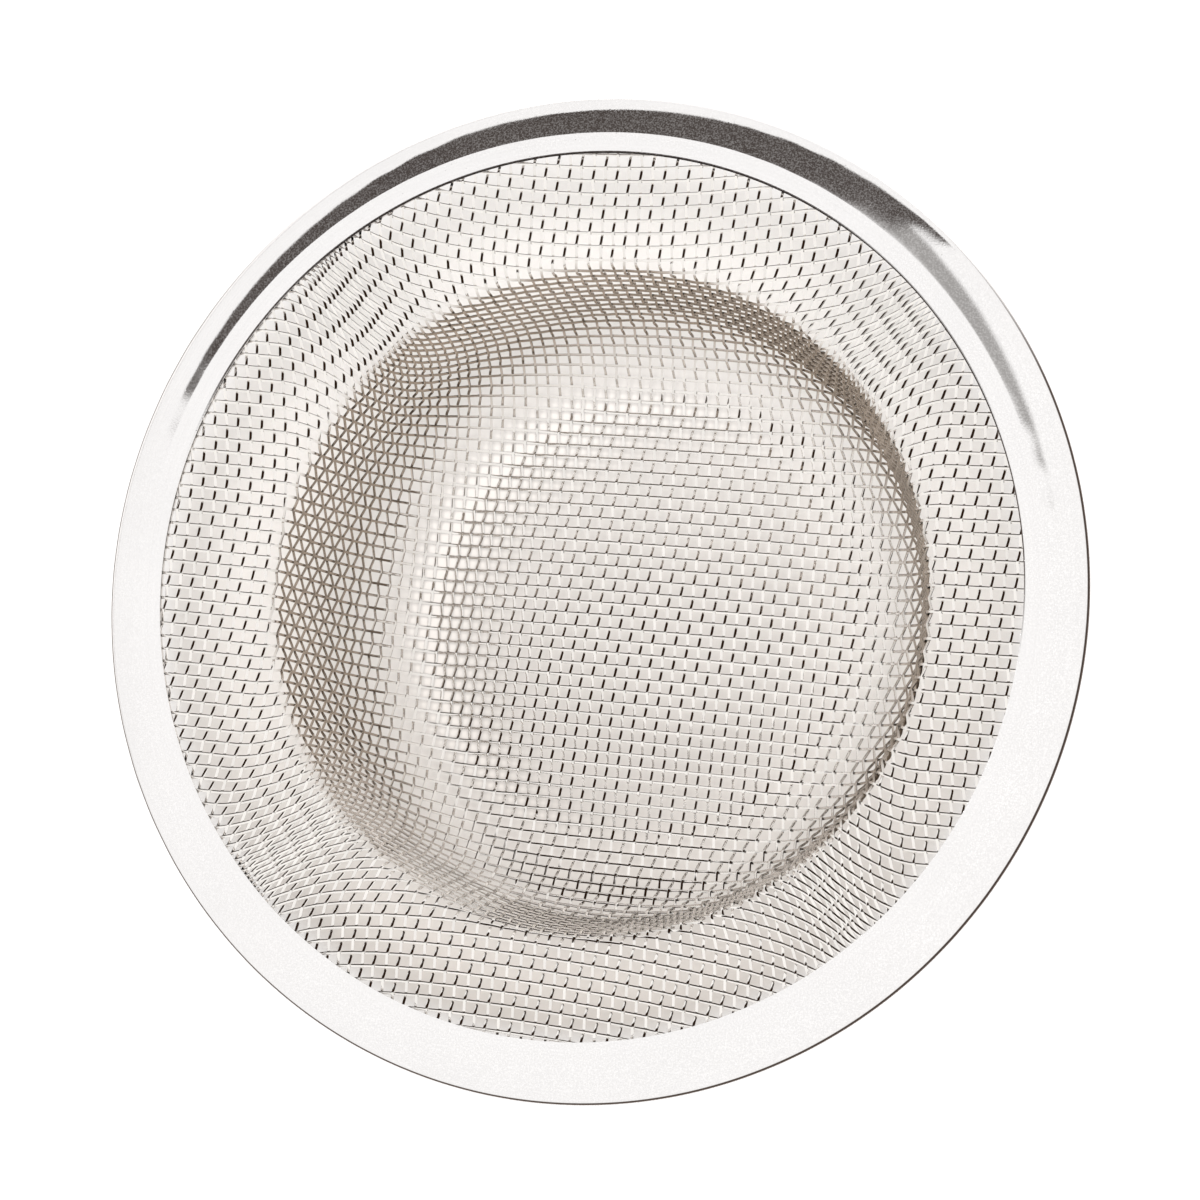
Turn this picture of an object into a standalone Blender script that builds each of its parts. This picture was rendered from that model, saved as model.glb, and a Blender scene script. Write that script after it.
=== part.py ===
"""Mesh sink strainer: a folded sheet-metal ring holds the edge of a plain-woven wire cloth, which is drawn
into a basket with a flange, a fold, a steep wall, a foot and a bottom that rises again in the middle.

Metres, +Z up. The origin is below the centre, on the surface that the strainer stands on. Warp wires run
along Y and weft wires along X. Wires don't stretch, so the cloth follows the drawn form by shear alone: every
crossing lies one pitch along the wire from its neighbours. That leaves the cells square on the two middle
wires and slanted on the diagonals of the wall and the flange, as on a pressed cloth.
"""
import math

import bpy
import numpy as np

# Ring: one strip, folded over the cloth's edge
RING_DIAMETER = 0.1143
RING_BAND = 0.0069
SHEET = 0.0004
HEM_BEND = 0.00055
CROWN_SLOPE = math.radians(30)
LOWER_LEAF_SETBACK = 0.0008
CLAMP_DEPTH = 0.002

# Wire cloth
WIRES_EACH_WAY = 27
WIRE_DIAMETER = 0.0004
CLEARANCE = 0.0003

# Drawn form of the cloth's middle surface, from the centre out
DOME_EDGE_RADIUS = 0.024
DOME_RISE = 0.0018
FOOT_BEND = 0.004
BASE_SLOPE = math.radians(15)
WALL_BEND = 0.013
WALL_SLOPE = math.radians(80)
FOLD_BEND = 0.002
FOLD_RADIUS = 0.039
WELL_DEPTH = 0.0226
FLANGE_SLOPE = math.radians(16)
MOUTH_BEND = 0.003

# Fineness of the curves
RING_STEPS = 64
HEM_STEPS = 5
CROWN_STEPS = 4
STEPS_PER_PITCH = 3
SPARE_NET_STEPS = 6
NET_ROUNDS = 12
CHORD_ERROR = 0.00025
MERGE_DISTANCE = 0.00001

# What follows from them
RING_RADIUS = RING_DIAMETER / 2
OPENING_RADIUS = RING_RADIUS - RING_BAND
WIRE_RADIUS = WIRE_DIAMETER / 2
WEAVE_RISE = (WIRE_DIAMETER + CLEARANCE) / 2
CLOTH_HALF = WEAVE_RISE + WIRE_RADIUS
SLOT_HEIGHT = 2 * (CLOTH_HALF + CLEARANCE)
SIDE_WIRES = WIRES_EACH_WAY // 2


def bend_run(radius, start, end):
    """Distance outward that a bend covers between two slopes."""
    return radius * abs(math.sin(end) - math.sin(start))


def bend_rise(radius, start, end):
    """Height that a bend covers between two slopes."""
    return radius * abs(math.cos(end) - math.cos(start))


class DrawnProfile:
    """Half profile of the basket by arc length from the centre: bends and straights in one smooth line."""

    def __init__(self, stretches):
        starts = []
        arc = radius = height = slope = 0.0
        for length, curvature in stretches:
            starts.append((arc, radius, height, slope, curvature))
            radius, height, slope = self.advance(radius, height, slope, curvature, length)
            arc += length
        self.starts = np.array(starts)

    @staticmethod
    def advance(radius, height, slope, curvature, length):
        """Radius, height and slope after a length of one bend or straight."""
        turned = slope + curvature * length
        bent = np.asarray(curvature) != 0
        divisor = np.where(bent, curvature, 1)
        along = np.where(bent, (np.sin(turned) - np.sin(slope)) / divisor, length * np.cos(slope))
        up = np.where(bent, (np.cos(slope) - np.cos(turned)) / divisor, length * np.sin(slope))
        return radius + along, height + up, turned

    def at(self, arc):
        """Radius, height and slope at each arc length."""
        stretch = np.searchsorted(self.starts[:, 0], arc, side="right") - 1
        start, radius, height, slope, curvature = self.starts[np.maximum(stretch, 0)].T
        return self.advance(radius, height, slope, curvature, arc - start)


def basket_profile():
    """The basket from its centre to the flat edge in the ring, and the arc length at which the edge begins."""
    dome_slope = 2 * math.atan(DOME_RISE / DOME_EDGE_RADIUS)
    dome_bend = DOME_EDGE_RADIUS / math.sin(dome_slope)
    run = (FOLD_RADIUS - DOME_EDGE_RADIUS - bend_run(FOOT_BEND, -dome_slope, BASE_SLOPE)
           - bend_run(WALL_BEND, BASE_SLOPE, WALL_SLOPE) - bend_run(FOLD_BEND, WALL_SLOPE, FLANGE_SLOPE))
    rise = (WELL_DEPTH - bend_rise(FOOT_BEND, 0, BASE_SLOPE)
            - bend_rise(WALL_BEND, BASE_SLOPE, WALL_SLOPE) - bend_rise(FOLD_BEND, WALL_SLOPE, FLANGE_SLOPE))
    turn = math.sin(WALL_SLOPE - BASE_SLOPE)
    base_length = (run * math.sin(WALL_SLOPE) - rise * math.cos(WALL_SLOPE)) / turn
    wall_length = (rise * math.cos(BASE_SLOPE) - run * math.sin(BASE_SLOPE)) / turn
    flange_run = OPENING_RADIUS - FOLD_RADIUS - bend_run(MOUTH_BEND, FLANGE_SLOPE, 0)
    stretches = [
        (dome_bend * dome_slope, -1 / dome_bend),
        (FOOT_BEND * (dome_slope + BASE_SLOPE), 1 / FOOT_BEND),
        (base_length, 0),
        (WALL_BEND * (WALL_SLOPE - BASE_SLOPE), 1 / WALL_BEND),
        (wall_length, 0),
        (FOLD_BEND * (WALL_SLOPE - FLANGE_SLOPE), -1 / FOLD_BEND),
        (flange_run / math.cos(FLANGE_SLOPE), 0),
        (MOUTH_BEND * FLANGE_SLOPE, -1 / MOUTH_BEND),
        (RING_BAND, 0),
    ]
    mouth_arc = sum(length for length, _ in stretches[:-1])
    return DrawnProfile(stretches), mouth_arc


def surface(profile, flat):
    """Points and upward normals of the drawn surface over places given as arc length times direction."""
    arc = np.hypot(flat[..., 0], flat[..., 1])
    radius, height, slope = profile.at(arc)
    outward = flat / np.where(arc > 0, arc, 1)[..., None]
    points = np.concatenate([outward * radius[..., None], height[..., None]], axis=-1)
    normals = np.concatenate([-outward * np.sin(slope)[..., None], np.cos(slope)[..., None]], axis=-1)
    return points, normals


def net_quarter(profile, step, count):
    """Flat places of a quarter of the net, each node one step from the nodes before it on both its wires."""
    flat = np.zeros((count + 1, count + 1, 2))
    flat[:, 0, 0] = flat[0, :, 1] = step * np.arange(count + 1)
    for diagonal in range(2, 2 * count + 1):
        i = np.arange(max(1, diagonal - count), min(count, diagonal - 1) + 1)
        j = diagonal - i
        before = [surface(profile, flat[i - 1, j])[0], surface(profile, flat[i, j - 1])[0]]
        guess = flat[i - 1, j] + flat[i, j - 1] - flat[i - 1, j - 1]
        arc = np.hypot(guess[:, 0], guess[:, 1])
        azimuth = np.arctan2(guess[:, 1], guess[:, 0])
        for _ in range(NET_ROUNDS):
            radius, height, slope = profile.at(arc)
            cosine, sine = np.cos(azimuth), np.sin(azimuth)
            here = np.stack([radius * cosine, radius * sine, height], axis=1)
            outward = np.stack([np.cos(slope) * cosine, np.cos(slope) * sine, np.sin(slope)], axis=1)
            around = np.stack([-sine, cosine, np.zeros_like(sine)], axis=1)
            rows, errors = [], []
            for point in before:
                apart = here - point
                distance = np.linalg.norm(apart, axis=1)
                rows.append([(apart * outward).sum(axis=1) / distance, (apart * around).sum(axis=1) / distance])
                errors.append(distance - step)
            (a, b), (c, d) = rows
            area = a * d - b * c
            arc = arc - (d * errors[0] - b * errors[1]) / area
            azimuth = azimuth - (a * errors[1] - c * errors[0]) / area / radius
        flat[i, j, 0] = arc * np.cos(azimuth)
        flat[i, j, 1] = arc * np.sin(azimuth)
    return flat


def whole_net(quarter):
    """The quarter mirrored over both middle wires."""
    count = len(quarter) - 1
    index = np.arange(-count, count + 1)
    net = quarter[np.abs(index)[:, None], np.abs(index)[None, :]].copy()
    net[..., 0] *= np.sign(index)[:, None]
    net[..., 1] *= np.sign(index)[None, :]
    return net


def wire_line(profile, line, parity, mouth_arc, end_arc):
    """Centre line of one wire: over and under at its crossings, bent with the cloth, with its ends in the ring."""
    middle = len(line) // 2
    reach = np.hypot(line[middle:, 0], line[middle:, 1])
    mouth, end = np.interp([mouth_arc, end_arc], reach, np.arange(len(reach)))
    fine = np.arange(-middle, middle + 1)
    points, _ = surface(profile, line)
    stations = {-end, -mouth, mouth, end}
    for crossing in range(-middle, middle, STEPS_PER_PITCH):
        if abs(crossing) < end:
            stations.add(float(crossing))
        first, last = points[crossing + middle], points[crossing + middle + STEPS_PER_PITCH]
        chord = (last - first) / np.linalg.norm(last - first)
        for inner in range(crossing + 1, crossing + STEPS_PER_PITCH):
            offset = points[inner + middle] - first
            sag = np.linalg.norm(offset - chord * offset.dot(chord))
            if sag > CHORD_ERROR and abs(inner) < mouth:
                stations.add(float(inner))
    stations = np.array(sorted(stations))
    flat = np.stack([np.interp(stations, fine, line[:, axis]) for axis in (0, 1)], axis=1)
    on_cloth, normals = surface(profile, flat)
    cell, across = np.divmod(stations / STEPS_PER_PITCH, 1)
    lift = (1 - 2 * across) * np.where((cell + parity) % 2 == 0, WEAVE_RISE, -WEAVE_RISE)
    return on_cloth + normals * lift[:, None]


def weave():
    """Centre lines of the warp and weft wires by name, and the profile that they follow."""
    profile, mouth_arc = basket_profile()
    end_arc = mouth_arc + CLAMP_DEPTH
    pitch = mouth_arc / (WIRES_EACH_WAY / 2)
    reach = STEPS_PER_PITCH * SIDE_WIRES + SPARE_NET_STEPS
    net = whole_net(net_quarter(profile, pitch / STEPS_PER_PITCH, reach))
    lines = {}
    for wire in range(-SIDE_WIRES, SIDE_WIRES + 1):
        number = wire + SIDE_WIRES + 1
        row = reach + wire * STEPS_PER_PITCH
        lines[f"warp_wire_{number:02d}"] = wire_line(profile, net[row], wire, mouth_arc, end_arc)
        lines[f"weft_wire_{number:02d}"] = wire_line(profile, net[:, row], wire + 1, mouth_arc, end_arc)
    return lines, profile.at(np.array([mouth_arc]))[1][0]


def steel(name, colour, roughness):
    """Material of one kind of steel part."""
    material = bpy.data.materials.new(name)
    material.use_nodes = True
    shader = material.node_tree.nodes["Principled BSDF"]
    shader.inputs["Base Color"].default_value = (*colour, 1)
    shader.inputs["Roughness"].default_value = roughness
    shader.inputs["Metallic"].default_value = 1
    return material


def add_wire(name, line, material, parent):
    """One wire as a bevelled curve, placed by its middle."""
    curve = bpy.data.curves.new(name, "CURVE")
    curve.dimensions = "3D"
    curve.twist_mode = "Z_UP"
    curve.bevel_depth = WIRE_RADIUS
    curve.bevel_resolution = 0
    curve.use_fill_caps = True
    spline = curve.splines.new("POLY")
    spline.points.add(len(line) - 1)
    middle = (line[0] + line[-1]) / 2
    for knot, point in zip(spline.points, line - middle):
        knot.co = (*point, 1)
    curve.materials.append(material)
    wire = bpy.data.objects.new(name, curve)
    wire.location = middle
    wire.parent = parent
    bpy.context.collection.objects.link(wire)


def ring_section():
    """Outline of the folded strip in radius and height, down its outer side first, with its underside at zero."""
    crown_rise = SLOT_HEIGHT + SHEET - bend_rise(HEM_BEND, CROWN_SLOPE, math.pi)
    crown_bend = crown_rise / (1 - math.cos(CROWN_SLOPE))
    radius, height = RING_RADIUS - SHEET / 2 - HEM_BEND, SHEET / 2
    path = [(OPENING_RADIUS + LOWER_LEAF_SETBACK, height, 0.0), (radius, height, 0.0)]
    for bend, turn, steps in ((HEM_BEND, math.pi - CROWN_SLOPE, HEM_STEPS), (crown_bend, CROWN_SLOPE, CROWN_STEPS)):
        start = path[-1][2]
        for step in range(1, steps + 1):
            heading = start + turn * step / steps
            path.append((radius + bend * (math.sin(heading) - math.sin(start)),
                         height + bend * (math.cos(start) - math.cos(heading)), heading))
        radius, height = path[-1][:2]
    path.append((OPENING_RADIUS, height, math.pi))
    faces = {side: [(r + side * SHEET / 2 * math.sin(heading), z - side * SHEET / 2 * math.cos(heading))
                    for r, z, heading in path] for side in (1, -1)}
    return faces[1][::-1] + faces[-1]


def add_ring(material, parent, mouth_height):
    """The folded ring, with the cloth's edge halfway between its two leaves."""
    outline = ring_section()
    mesh = bpy.data.meshes.new("rim_ring")
    corners = [(radius, 0, height) for radius, height in outline]
    edges = [(index, (index + 1) % len(corners)) for index in range(len(corners))]
    mesh.from_pydata(corners, edges, [])
    mesh.materials.append(material)
    ring = bpy.data.objects.new("rim_ring", mesh)
    bpy.context.collection.objects.link(ring)
    turn = ring.modifiers.new("revolve", "SCREW")
    turn.steps = turn.render_steps = RING_STEPS
    turn.use_merge_vertices = True
    turn.merge_threshold = MERGE_DISTANCE
    turn.use_smooth_shade = True
    ring.location.z = mouth_height - SHEET - SLOT_HEIGHT / 2
    ring.parent = parent


def main():
    for leftover in list(bpy.data.objects):
        bpy.data.objects.remove(leftover)
    lines, mouth_height = weave()
    lowest = min(line[:, 2].min() for line in lines.values())
    strainer = bpy.data.objects.new("strainer", None)
    bpy.context.collection.objects.link(strainer)
    strainer.location.z = WIRE_RADIUS - lowest
    polished = steel("polished_sheet_steel", (0.80, 0.79, 0.78), 0.12)
    wire_steels = {"warp": steel("warp_wire_steel", (0.62, 0.60, 0.57), 0.25),
                   "weft": steel("weft_wire_steel", (0.66, 0.64, 0.61), 0.25)}
    add_ring(polished, strainer, mouth_height)
    for name, line in lines.items():
        add_wire(name, line, wire_steels[name[:4]], strainer)


main()
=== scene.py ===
"""Looks of the mesh sink strainer: its full-count woven cloth, its polished ring and a white studio round it.

The cloth is a plain weave of straight wires that was pressed into a basket. Wires don't stretch, so every
crossing is placed one pitch along both of its wires from the crossings before it, and the cloth follows the
pressed form by shear alone. The form carries the small faults of the pressing: its well sits a little off the
ring's centre and leans, and the cloth has shallow dents.
"""

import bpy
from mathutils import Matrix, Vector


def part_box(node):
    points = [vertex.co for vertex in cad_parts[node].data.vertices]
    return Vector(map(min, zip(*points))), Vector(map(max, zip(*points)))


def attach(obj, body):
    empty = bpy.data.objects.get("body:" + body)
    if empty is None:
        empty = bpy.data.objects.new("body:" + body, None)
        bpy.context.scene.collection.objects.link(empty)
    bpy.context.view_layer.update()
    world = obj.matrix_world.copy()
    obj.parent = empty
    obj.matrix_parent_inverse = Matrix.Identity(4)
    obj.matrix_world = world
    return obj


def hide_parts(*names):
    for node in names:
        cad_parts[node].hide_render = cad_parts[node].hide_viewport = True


bl_info = {
    "name": "Mesh Sink Strainer",
    "version": (1, 0, 0),
    "blender": (4, 5, 0),
    "location": "3D View > Sidebar > Strainer",
    "description": "Weaves and presses a wire-cloth sink strainer, folds its ring and sets a white studio",
    "category": "Add Mesh",
}

import math

import bpy
import numpy as np
from bpy.props import FloatProperty, FloatVectorProperty, IntProperty, PointerProperty
from mathutils import Matrix, Vector

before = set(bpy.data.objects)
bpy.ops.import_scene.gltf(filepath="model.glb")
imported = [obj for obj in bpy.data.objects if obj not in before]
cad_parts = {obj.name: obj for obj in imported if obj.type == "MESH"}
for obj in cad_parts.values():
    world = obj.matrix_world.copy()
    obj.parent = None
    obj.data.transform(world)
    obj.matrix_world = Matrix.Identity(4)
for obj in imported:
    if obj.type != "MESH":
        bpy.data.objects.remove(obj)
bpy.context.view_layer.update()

# The ring's place, from the frame
RING_LOW, RING_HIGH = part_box("rim_ring")
RING_RADIUS = RING_HIGH.x
WARP_NODES = sorted(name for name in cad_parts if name.startswith("warp"))
WEFT_NODES = sorted(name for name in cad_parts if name.startswith("weft"))

# Fineness of the numerical work, in metres where it is a length
TABLE_STEP = 0.00002
SLOPE_STEP = 0.00002
FOOT_TURNS = 181
FOOT_RADII = 400
CENTRE_ROUNDS = 6
NET_ROUNDS = 20
LONGEST_MOVE_SHARE = 0.4
SMALLEST_TURN = 0.05
NET_REACH_SHARE = 1.4
QUADRANTS = ((1, 1), (-1, 1), (1, -1), (-1, -1))
HEM_STEPS = 20
CROWN_STEPS = 28
SHARP_EDGE = math.radians(40)

# Where the dents lie, in radii of the fold, and where the lip's points lie, in widths of the lip
DENTS_FROM = 0.8
DENTS_SPREAD = 0.35
LIP_SHARES = (1.6, 1.1, 1.0)

# Ripples round the ring: how many are added up, and the range of their waves
RIPPLES = 8
RIPPLE_WAVES = (20, 90)

# Marks that all the steel has: their detail, and the part of the pits' and the clouds' noise that shows
CLOUD_DETAIL = 4.0
PIT_DETAIL = 3.0
PIT_RANGE = (0.35, 0.7)
CLOUD_RANGE = (0.3, 0.7)

# Marks of the wire: scales to the metre, tones and their shades, shares of roughness, relief, and the painted
# shade of the steep wall
WIRE_CLOUDS = 160.0
WIRE_PITS = 9000.0
WIRE_TONES = (0.2, 1.6)
WIRE_SHADES = (0.9, 1.08)
WIRE_ROUGH_SHARES = (0.7, 1.5)
WIRE_BUMP = {"Strength": 0.12, "Distance": 0.000004}
STEEP_RANGE = (-0.1, 0.7)
WALL_SHADE_SIDES = (-RING_RADIUS * 0.65, -RING_RADIUS * 0.25)
LEAST_WALL_SHADE = 0.2

# Marks of the ring, in the same way, with its rolling lines, specks and dust
RING_CLOUDS = 70.0
RING_PITS = 5200.0
RING_LINES = 3000.0
LINE_DETAIL = 2.0
RING_TONES = (0.15, 0.4)
RING_SHADES = (0.955, 1.0)
RING_ROUGH_SHARES = (0.6, 1.8)
RING_BUMP = {"Strength": 0.3, "Distance": 0.000003}
SPECKS = 1500.0
SPECK_RARITY = 0.72
SPECK_EDGE = (0.05, 0.2)
SPECK_HEIGHT = 3.0
DUST_RANGE = (0.2, 0.9)
DUST_METALLIC = (0.985, 0.94)

# The ring's painted shade lines: soft edges in line widths, the front that has the outer one, the back that
# has the inner
HEM_SOFT_EDGE = 1.5
LIP_SOFT_EDGE = 0.4
FRONT_RANGE = (RING_RADIUS * 0.45, RING_RADIUS * 0.8)
BACK = (0.35, 0.94, 0)
BACK_SHARES = (0.25, 0.5)

# Soft edges in the studio: of the surround in distance over height, and of the floor's painted shade in
# metres
LEAST_HEIGHT = 0.05
SLANT_SOFTNESS = 0.03
SIDE_SOFTNESS = 0.06
HAZE_SOFTNESS = (0.1, 0.05)
GAP_SOFTNESS = (0.05, 0.03)
LOW_SOFTNESS = 0.03
SHADE_SOFTNESS = 0.0025
NEAREST_SEEN = 0.01
FALLING = (1.0, 0.0)
WHITE = (1, 1, 1, 1)


class ClothSizes(bpy.types.PropertyGroup):
    """Sizes of the wire cloth and of the form that it was pressed into."""
    warp_pitch: FloatProperty(
        name="Warp pitch", description="Distance between neighbouring warp wires", default=0.001402,
        unit="LENGTH", precision=5)
    weft_pitch: FloatProperty(
        name="Weft pitch", description="Distance between neighbouring weft wires", default=0.00148,
        unit="LENGTH", precision=5)
    wire: FloatProperty(
        name="Wire", description="Diameter of a wire", default=0.00031, unit="LENGTH", precision=5)
    warp_crimp_share: FloatProperty(
        name="Warp crimp",
        description="How far a warp wire rises and falls, in wire diameters; the weft has the rest",
        default=0.9)
    sharpness_share: FloatProperty(
        name="Crimp sharpness",
        description="Straightness of a wire between its crossings: 0 is a wave, 1 a zigzag", default=0.96)
    spacing_error_share: FloatProperty(
        name="Spacing error", description="Random error of the pitch, as a share of it", default=0.02)
    sides: IntProperty(name="Sides", description="Sides of a wire's tube", default=8)
    steps: IntProperty(name="Steps", description="Steps along a wire in each pitch", default=8)
    groups: IntProperty(
        name="Groups", description="Objects that share the wires of one direction", default=5)
    dome_edge: FloatProperty(
        name="Dome edge", description="Radius at which the bottom's dome meets the foot", default=0.02475,
        unit="LENGTH", precision=4)
    dome_rise: FloatProperty(
        name="Dome rise", description="How far the bottom rises again in its middle", default=0.00217,
        unit="LENGTH", precision=4)
    foot_bend: FloatProperty(
        name="Foot bend", description="Bend radius of the foot", default=0.004, unit="LENGTH", precision=4)
    base_slope: FloatProperty(
        name="Base slope", description="Slope outside the foot", default=math.radians(19), unit="ROTATION")
    wall_bend: FloatProperty(
        name="Wall bend", description="Bend radius between base and wall", default=0.0145, unit="LENGTH",
        precision=4)
    wall_slope: FloatProperty(
        name="Wall slope", description="Slope of the wall", default=math.radians(80.3), unit="ROTATION")
    fold_bend: FloatProperty(
        name="Fold bend", description="Bend radius at the top of the wall", default=0.002, unit="LENGTH",
        precision=4)
    fold_radius: FloatProperty(
        name="Fold radius", description="Radius of the fold between wall and flange", default=0.03948,
        unit="LENGTH", precision=4)
    flange_slope: FloatProperty(
        name="Flange slope", description="Mean slope of the flange", default=math.radians(10),
        unit="ROTATION")
    mouth_bend: FloatProperty(
        name="Mouth bend", description="Bend radius where the cloth enters the ring", default=0.003,
        unit="LENGTH", precision=4)
    fold_offset: FloatVectorProperty(
        name="Fold offset", description="Place of the fold's centre against the ring's", size=2,
        default=(0.00115, -0.00044), unit="LENGTH", precision=4)
    foot_offset: FloatVectorProperty(
        name="Foot offset", description="Place of the foot's centre against the ring's", size=2,
        default=(0.0003, -0.0002), unit="LENGTH", precision=4)
    lean_rise: FloatProperty(
        name="Lean rise", description="How much higher the bottom's high side lies", default=0.0028,
        unit="LENGTH", precision=4)
    lean_side: FloatProperty(
        name="Lean side", description="Direction of the bottom's high side, from +X",
        default=math.radians(-20.5), unit="ROTATION")
    dents: IntProperty(
        name="Dents", description="Number of shallow dents in the wall and the flange", default=9)
    dent_depth: FloatProperty(
        name="Dent depth", description="Largest depth of a dent", default=0.0004, unit="LENGTH",
        precision=5)
    dent_width: FloatProperty(
        name="Dent width", description="Half width of a dent", default=0.006, unit="LENGTH", precision=4)
    clamp: FloatProperty(
        name="Clamp", description="Length of the cut wire ends inside the ring", default=0.002,
        unit="LENGTH", precision=4)
    seed: IntProperty(name="Seed", description="Seed of the spacing errors", default=7)


class RingSizes(bpy.types.PropertyGroup):
    """Sizes of the folded ring, beside those that come from the frame."""
    band: FloatProperty(
        name="Band", description="Width of the ring", default=0.0069, unit="LENGTH", precision=4)
    sheet: FloatProperty(
        name="Sheet", description="Thickness of the strip", default=0.0004, unit="LENGTH", precision=5)
    hem_bend: FloatProperty(
        name="Hem bend", description="Bend radius of the fold round the outside", default=0.00025,
        unit="LENGTH", precision=5)
    crown_slope: FloatProperty(
        name="Crown slope", description="Slope at which the upper leaf leaves the fold",
        default=math.radians(36.4), unit="ROTATION")
    crease_slope: FloatProperty(
        name="Crease slope", description="Slope of the crown where it meets the flat land",
        default=math.radians(7), unit="ROTATION")
    crease: FloatProperty(
        name="Crease", description="Width of the crease", default=0.00005, unit="LENGTH", precision=5)
    setback: FloatProperty(
        name="Setback", description="How much wider the lower leaf's opening is", default=0.0008,
        unit="LENGTH", precision=4)
    lip_run: FloatProperty(
        name="Lip run", description="Width of the turned inner edge of the upper leaf", default=0.00026,
        unit="LENGTH", precision=5)
    lip_slope: FloatProperty(
        name="Lip slope", description="Slope of the turned inner edge", default=math.radians(13),
        unit="ROTATION")
    tip: FloatProperty(
        name="Tip", description="Thickness of the inner edge's cut face", default=0.00014, unit="LENGTH",
        precision=5)
    segments: IntProperty(name="Segments", description="Segments round the ring", default=480)
    ripple: FloatProperty(
        name="Ripple", description="Height of the pressing's ripples on the crown", default=0.000006,
        unit="LENGTH", precision=6)
    seed: IntProperty(name="Seed", description="Seed of the ripples", default=11)


class SteelFinish(bpy.types.PropertyGroup):
    """Colours and roughness of the steels."""
    ring_colour: FloatVectorProperty(
        name="Ring", description="Colour of the polished ring", subtype="COLOR",
        default=(0.90, 0.885, 0.88), min=0, max=1)
    # Painted shade: the colour of the dark lines along the front of the outer edge and the back of the inner
    # edge
    edge_shade_colour: FloatVectorProperty(
        name="Hem", description="Colour of the stain along the ring's outer edge", subtype="COLOR",
        default=(0.075, 0.055, 0.045), min=0, max=1)
    # Width of those painted shade lines
    edge_shade_width: FloatProperty(
        name="Stain width", description="Width of the stain along the outer edge", default=0.00019,
        unit="LENGTH", precision=5)
    warp_colour: FloatVectorProperty(
        name="Warp", description="Colour of the warp wires", subtype="COLOR", default=(0.93, 0.90, 0.865),
        min=0, max=1)
    weft_colour: FloatVectorProperty(
        name="Weft", description="Colour of the weft wires", subtype="COLOR", default=(0.93, 0.90, 0.865),
        min=0, max=1)
    # Painted shade: the colour that the steep wall's wires are darkened to
    wall_shade_colour: FloatVectorProperty(
        name="Drawn",
        description="Colour that the wires of the steep wall take, where the press rubbed them",
        subtype="COLOR", default=(0.42, 0.355, 0.295), min=0, max=1)
    ring_roughness: FloatProperty(
        name="Ring roughness", description="Roughness of the ring", default=0.07, subtype="FACTOR", min=0,
        max=1)
    warp_flatness: FloatProperty(
        name="Warp flatness",
        description="Flatness of the warp's crowns: 0 is round, 1 halves the turn of the surface",
        default=3.8)
    weft_flatness: FloatProperty(
        name="Weft flatness", description="Flatness of the weft's crowns, as for the warp's", default=2.1)
    wire_roughness: FloatProperty(
        name="Wire roughness", description="Roughness of the wires", default=0.075, subtype="FACTOR", min=0,
        max=1)


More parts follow.
